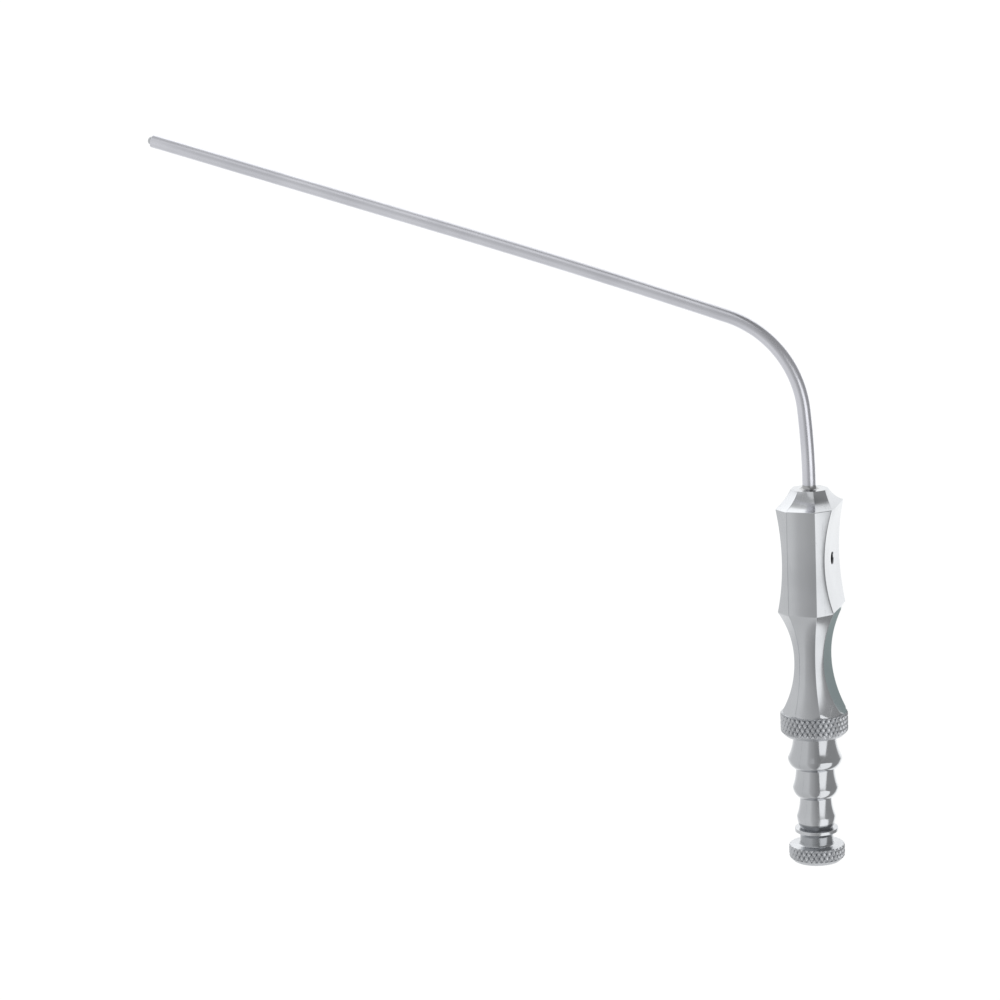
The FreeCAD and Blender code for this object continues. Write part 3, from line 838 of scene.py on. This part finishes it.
# Studio: floor, lamps and a soft surround

studio = {
    "around": ((-180, 1.15), (-109, 0.74), (-60, 0.73), (-34, 0.74), (-18, 0.53), (-4, 0.45), (10, 0.36), (22, 0.31),
               (84, 0.33), (136, 0.33), (150, 1.15), (180, 1.15)),
    "along": ((-1.0, 0.9), (-0.3, 1.0), (0.7, 1.0), (0.82, 0.95), (0.9, 0.64), (1.0, 0.66)),
    "panels": ({"around": (28, 69), "slant": (0.0, 44.0), "along": (-0.99, 0.27), "level": 1.2},
               {"around": (-176, -112), "slant": (0.0, 0.0), "along": (0.4, 0.86), "level": 1.4},
               {"around": (-22, 4), "slant": (0.0, 0.0), "along": (0.36, 0.75), "level": 0.56},
               {"around": (-22, 22), "slant": (0.0, 0.0), "along": (0.64, 1.04), "level": 0.84}),
    "panelSoft": (3.0, 0.03), "underTone": (0.29, 0.34, 0.34), "underAcross": (2.5, 10.5), "underAlong": (16.0, 38.0),
    "litTone": (0.985, 0.995, 1.0), "floorGlow": 0.95, "floorTone": 0.12, "floorReach": 4.0,
    "lampPlace": (-0.3, 0.2, 0.9), "lampAim": (0.02, 0.0, 0.005), "lampSides": (0.7, 0.7), "lampPower": 2.2,
}


def makeSurround():
    world = bpy.data.worlds.new("studioSurround")
    bpy.context.scene.world = world
    world.use_nodes = True
    tree = world.node_tree
    nodes = tree.nodes
    nodes.clear()
    coord = nodes.new("ShaderNodeTexCoord")
    parts = nodes.new("ShaderNodeSeparateXYZ")
    tree.links.new(coord.outputs["Generated"], parts.inputs[0])
    calc = partial(mathNode, tree)
    times, window = partial(calc, "MULTIPLY"), partial(windowNode, tree)
    x, y, z = parts.outputs
    angle = calc("ARCTAN2", x, z)

    def ramp(value, low, high, stops):
        colours = nodes.new("ShaderNodeValToRGB")
        colours.color_ramp.interpolation = "EASE"
        marks = colours.color_ramp.elements
        while len(marks) < len(stops):
            marks.new(0.5)
        for mark, (place, level) in zip(marks, stops):
            mark.position = (place - stops[0][0]) / (stops[-1][0] - stops[0][0])
            mark.color = (level, level, level, 1.0)
        tree.links.new(rangeNode(tree, value, low, high, 0.0, 1.0, "LINEAR"), colours.inputs["Fac"])
        return colours.outputs["Color"]

    level = times(ramp(angle, -math.pi, math.pi, studio["around"]), ramp(y, -1.0, 1.0, studio["along"]))
    turned = times(angle, math.degrees(1.0))
    softTurn, softRun = studio["panelSoft"]
    for panel in studio["panels"]:
        (left, right), (low, high) = panel["around"], panel["along"]
        one, other = (calc("ADD", turned, times(y, slant)) for slant in panel["slant"])
        shape = times(window(one, left, other, right, softTurn), window(y, low, y, high, softRun))
        level = calc("MAXIMUM", level, times(shape, panel["level"]))
    seen = nodes.new("ShaderNodeBackground")
    seen.inputs["Color"].default_value = (1.0, 1.0, 1.0, 1.0)
    lit = nodes.new("ShaderNodeBackground")
    tree.links.new(level, lit.inputs["Strength"])
    lit.inputs["Color"].default_value = studio["litTone"] + (1.0,)
    path = nodes.new("ShaderNodeLightPath")
    mix = nodes.new("ShaderNodeMixShader")
    tree.links.new(path.outputs["Is Camera Ray"], mix.inputs["Fac"])
    tree.links.new(lit.outputs[0], mix.inputs[1])
    tree.links.new(seen.outputs[0], mix.inputs[2])
    tree.links.new(mix.outputs[0], nodes.new("ShaderNodeOutputWorld").inputs["Surface"])


def makeFloor():
    mesh = bpy.data.meshes.new("studioFloor")
    far = studio["floorReach"]
    mesh.from_pydata([(-far, -far, 0), (far, -far, 0), (far, far, 0), (-far, far, 0)], [], [(0, 1, 2, 3)])
    floor = placed("studioFloor", mesh)
    material = bpy.data.materials.new("studioFloor")
    material.use_nodes = True
    tree = material.node_tree
    tree.nodes.clear()
    glow = tree.nodes.new("ShaderNodeEmission")
    glow.inputs["Strength"].default_value = studio["floorGlow"]
    matt = tree.nodes.new("ShaderNodeBsdfDiffuse")
    matt.inputs["Color"].default_value = (studio["floorTone"],) * 3 + (1.0,)
    both = tree.nodes.new("ShaderNodeAddShader")
    tree.links.new(glow.outputs[0], both.inputs[0])
    tree.links.new(matt.outputs[0], both.inputs[1])
    tree.links.new(both.outputs[0], tree.nodes.new("ShaderNodeOutputMaterial").inputs["Surface"])
    mesh.materials.append(material)
    floor.visible_glossy = False


def makeUnderShade():
    # painted shadow: a dim glowing card, seen only in reflections, that the polished underside mirrors as the shaded
    # strip of table under the handle's waist
    (left, right), (low, high) = studio["underAcross"], studio["underAlong"]
    corners = [hoseEnd + (holeSide * x + handleUp * z) * mm
               for x, z in ((left, low), (right, low), (right, high), (left, high))]
    mesh = bpy.data.meshes.new("underShade")
    mesh.from_pydata([(corner.x, corner.y, 0.0) for corner in corners], [], [(0, 1, 2, 3)])
    shade = placed("underShade", mesh)
    material = bpy.data.materials.new("underShade")
    material.use_nodes = True
    tree = material.node_tree
    tree.nodes.clear()
    glow = tree.nodes.new("ShaderNodeEmission")
    glow.inputs["Color"].default_value = studio["underTone"] + (1.0,)
    tree.links.new(glow.outputs[0], tree.nodes.new("ShaderNodeOutputMaterial").inputs["Surface"])
    mesh.materials.append(material)
    shade.visible_camera = shade.visible_diffuse = shade.visible_shadow = False


def makeLamp():
    light = bpy.data.lights.new("overhead", "AREA")
    light.shape = "RECTANGLE"
    light.size, light.size_y = studio["lampSides"]
    light.energy = studio["lampPower"]
    lamp = placed("overhead", light)
    lamp.location = studio["lampPlace"]
    lean = Vector(studio["lampPlace"]) - Vector(studio["lampAim"])
    lamp.rotation_euler = lean.to_track_quat("Z", "Y").to_euler()
    lamp.visible_glossy = False


makeSurround()
makeFloor()
makeUnderShade()
makeLamp()


# Camera, set from the handle: it looks down on the piece as it lies

view = {"turn": 72.02, "rise": 11.481, "roll": -2.376, "focal": 3200.0, "distance": 556.312,
        "shiftRight": 54.156, "shiftUp": -16.695, "aimHeight": 41.8, "sensor": 36.0}


def makeCamera():
    turn, rise, roll = (math.radians(view[key]) for key in ("turn", "rise", "roll"))
    ahead = np.array((math.cos(turn), math.sin(turn), 0.0))
    right = np.array((math.sin(turn), -math.cos(turn), 0.0))
    upright = np.array((0.0, 0.0, 1.0))
    back = ahead * math.cos(rise) + upright * math.sin(rise)
    up = -ahead * math.sin(rise) + upright * math.cos(rise)
    right, up = right * math.cos(roll) + up * math.sin(roll), up * math.cos(roll) - right * math.sin(roll)

    def turned(direction):
        return handleTurn @ Vector((direction[0], -direction[1], direction[2]))

    right, up, back = turned(right), turned(up), turned(back)
    aim = hoseEnd + handleUp * view["aimHeight"] * mm - (right * view["shiftRight"] + up * view["shiftUp"]) * mm
    lens = bpy.data.cameras.new("camera")
    lens.sensor_width = view["sensor"]
    lens.lens = view["focal"] / 1000 * lens.sensor_width
    camera = placed("camera", lens)
    turnTo = Matrix((right, up, back)).transposed().to_4x4()
    camera.matrix_world = Matrix.Translation(aim + back * view["distance"] * mm) @ turnTo
    bpy.context.scene.camera = camera


makeCamera()
bpy.context.scene.view_settings.view_transform = "Standard"
print("studio and camera ready")
